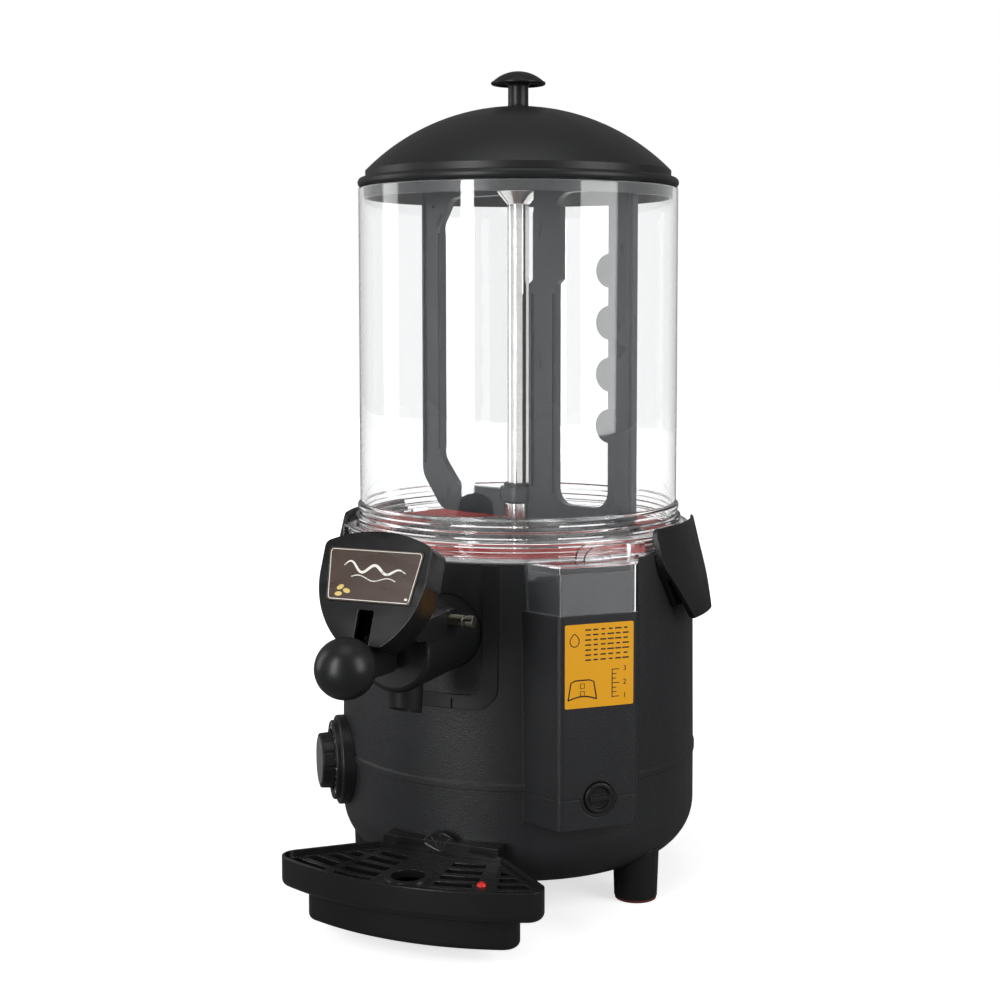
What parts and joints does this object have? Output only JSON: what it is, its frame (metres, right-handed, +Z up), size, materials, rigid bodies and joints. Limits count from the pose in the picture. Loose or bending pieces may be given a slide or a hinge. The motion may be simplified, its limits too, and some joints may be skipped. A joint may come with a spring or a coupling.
{
  "type": "hot chocolate dispenser machine",
  "caption": "Countertop hot chocolate dispenser with a clear stirred bowl, domed lid, lever tap, water filler box, temperature knob and drip tray.",
  "frame": {"origin": "centre of the machine's footprint at counter level, under the soft foot pads", "axes": "+Z up, the tap and drip tray face -Y, +X to the right when facing the machine's back from the front"},
  "size_m": [0.285, 0.4128, 0.5795],
  "materials": {
    "body_black": "fine grained satin black moulding",
    "foot_black": "satin black moulding",
    "pad_rubber": "soft matt rubber",
    "sheet_steel": "brushed sheet",
    "screw_steel": "plain screw steel",
    "gland_black": "smooth moulding",
    "bowl_clear": "clear moulded plastic, slightly scuffed",
    "seal_red": "soft red silicone",
    "pan_steel": "polished drawn sheet",
    "heater_steel": "oxidised tube",
    "tube_steel": "polished tube",
    "bush_white": "slippery white plastic",
    "motor_grey": "cast and painted housing",
    "agitator_black": "smooth black moulding",
    "lid_black": "polished black dome with light scuffs",
    "handle_black": "satin black moulding",
    "cover_clear": "clear tinted plastic",
    "tap_black": "satin black moulding",
    "tap_gloss": "glossy black moulding",
    "spring_steel": "bright spring wire",
    "pin_steel": "ground rod",
    "plate_brown": "brown printed insert with a plain wave pattern",
    "dial_black": "satin black moulding",
    "dial_grey": "light grey face",
    "tray_black": "satin black moulding",
    "grid_black": "satin black moulding",
    "float_red": "red indicator float"
  },
  "bodies": {
    "root": {"base_shell": "body_black", "upper_shell": "body_black", "feet": "foot_black", "foot_pads": "pad_rubber", "bottom_plate": "sheet_steel", "bottom_screws": "screw_steel", "cable_gland": "gland_black", "bowl": "bowl_clear", "gasket_lower": "seal_red", "gasket_upper": "seal_red", "heating_vessel": "pan_steel", "water_jacket": "sheet_steel", "heating_element": "heater_steel", "chassis_plate": "sheet_steel", "standoffs": "sheet_steel", "centre_tube": "tube_steel", "shaft_bushes": "bush_white", "gear_motor": "motor_grey", "right_handle": "handle_black", "left_handle": "handle_black", "handle_screws": "screw_steel", "tap_bezel": "tap_gloss", "tap_body": "tap_black", "tap_seal": "seal_red", "spring_cap": "tap_black", "pivot_pin": "pin_steel", "tap_hood": "tap_gloss", "name_plate": "plate_brown", "thermostat_bezel": "dial_black", "thermostat_switch": "motor_grey"},
    "agitator": {"drive_shaft": "tube_steel", "agitator_frame": "agitator_black", "agitator_bush": "agitator_black"},
    "lid": {"lid": "lid_black", "lid_knob": "lid_black", "lid_knob_screw": "screw_steel"},
    "filler_cover": {"filler_cover": "cover_clear"},
    "drain_cap": {"drain_cap": "tap_black"},
    "tap_lever": {"tap_lever": "tap_black", "ball_knob": "tap_gloss"},
    "valve": {"valve_piston": "bush_white", "valve_seal": "seal_red", "valve_spring": "spring_steel"},
    "thermostat": {"thermostat_knob": "dial_black", "thermostat_face": "dial_grey", "thermostat_shaft": "pin_steel"},
    "drip_tray": {"drip_tray": "tray_black"},
    "drip_grid": {"drip_grid": "grid_black"},
    "float": {"float_indicator": "float_red"}
  },
  "joints": [
    {"name": "agitator_spin", "type": "hinge", "parent": "root", "child": "agitator", "pos_m": [0, 0.0776, 0.3], "axis": [0, 0, 1], "continuous": true},
    {"name": "lid_lift", "type": "slide", "parent": "root", "child": "lid", "axis": [0, 0, 1], "range_m": [0, 0.09]},
    {"name": "lever_lift", "type": "hinge", "parent": "root", "child": "tap_lever", "pos_m": [0, -0.0934, 0.215], "axis": [-1, 0, 0], "range_deg": [0, 14]},
    {"name": "valve_rise", "type": "slide", "parent": "root", "child": "valve", "axis": [0, 0, 1], "range_m": [0, 0.006], "stiffness_N_per_m": 300, "springref_m": -0.012, "deforming": ["valve_spring"]},
    {"name": "thermostat_turn", "type": "hinge", "parent": "root", "child": "thermostat", "pos_m": [-0.11326, -0.00469, 0.0875], "axis": [-0.809, -0.5878, 0], "range_deg": [-270, 0]},
    {"name": "filler_cover_lift", "type": "slide", "parent": "root", "child": "filler_cover", "axis": [0, 0, 1], "range_m": [0, 0.05]},
    {"name": "drain_cap_turn", "type": "hinge", "parent": "root", "child": "drain_cap", "pos_m": [0.1023, -0.0321, 0.0925], "axis": [0.682, -0.7314, 0], "range_deg": [0, 360]},
    {"name": "tray_slide", "type": "slide", "parent": "root", "child": "drip_tray", "axis": [0, -1, 0], "range_m": [0, 0.1]},
    {"name": "grid_lift", "type": "slide", "parent": "drip_tray", "child": "drip_grid", "axis": [0, 0, 1], "range_m": [0, 0.06]},
    {"name": "float_rise", "type": "slide", "parent": "drip_tray", "child": "float", "axis": [0, 0, 1], "range_m": [0, 0.008]}
  ],
  "couplings": [
    {"joint": "valve_rise", "follows": "lever_lift", "m_per_rad": 0.024}
  ]
}
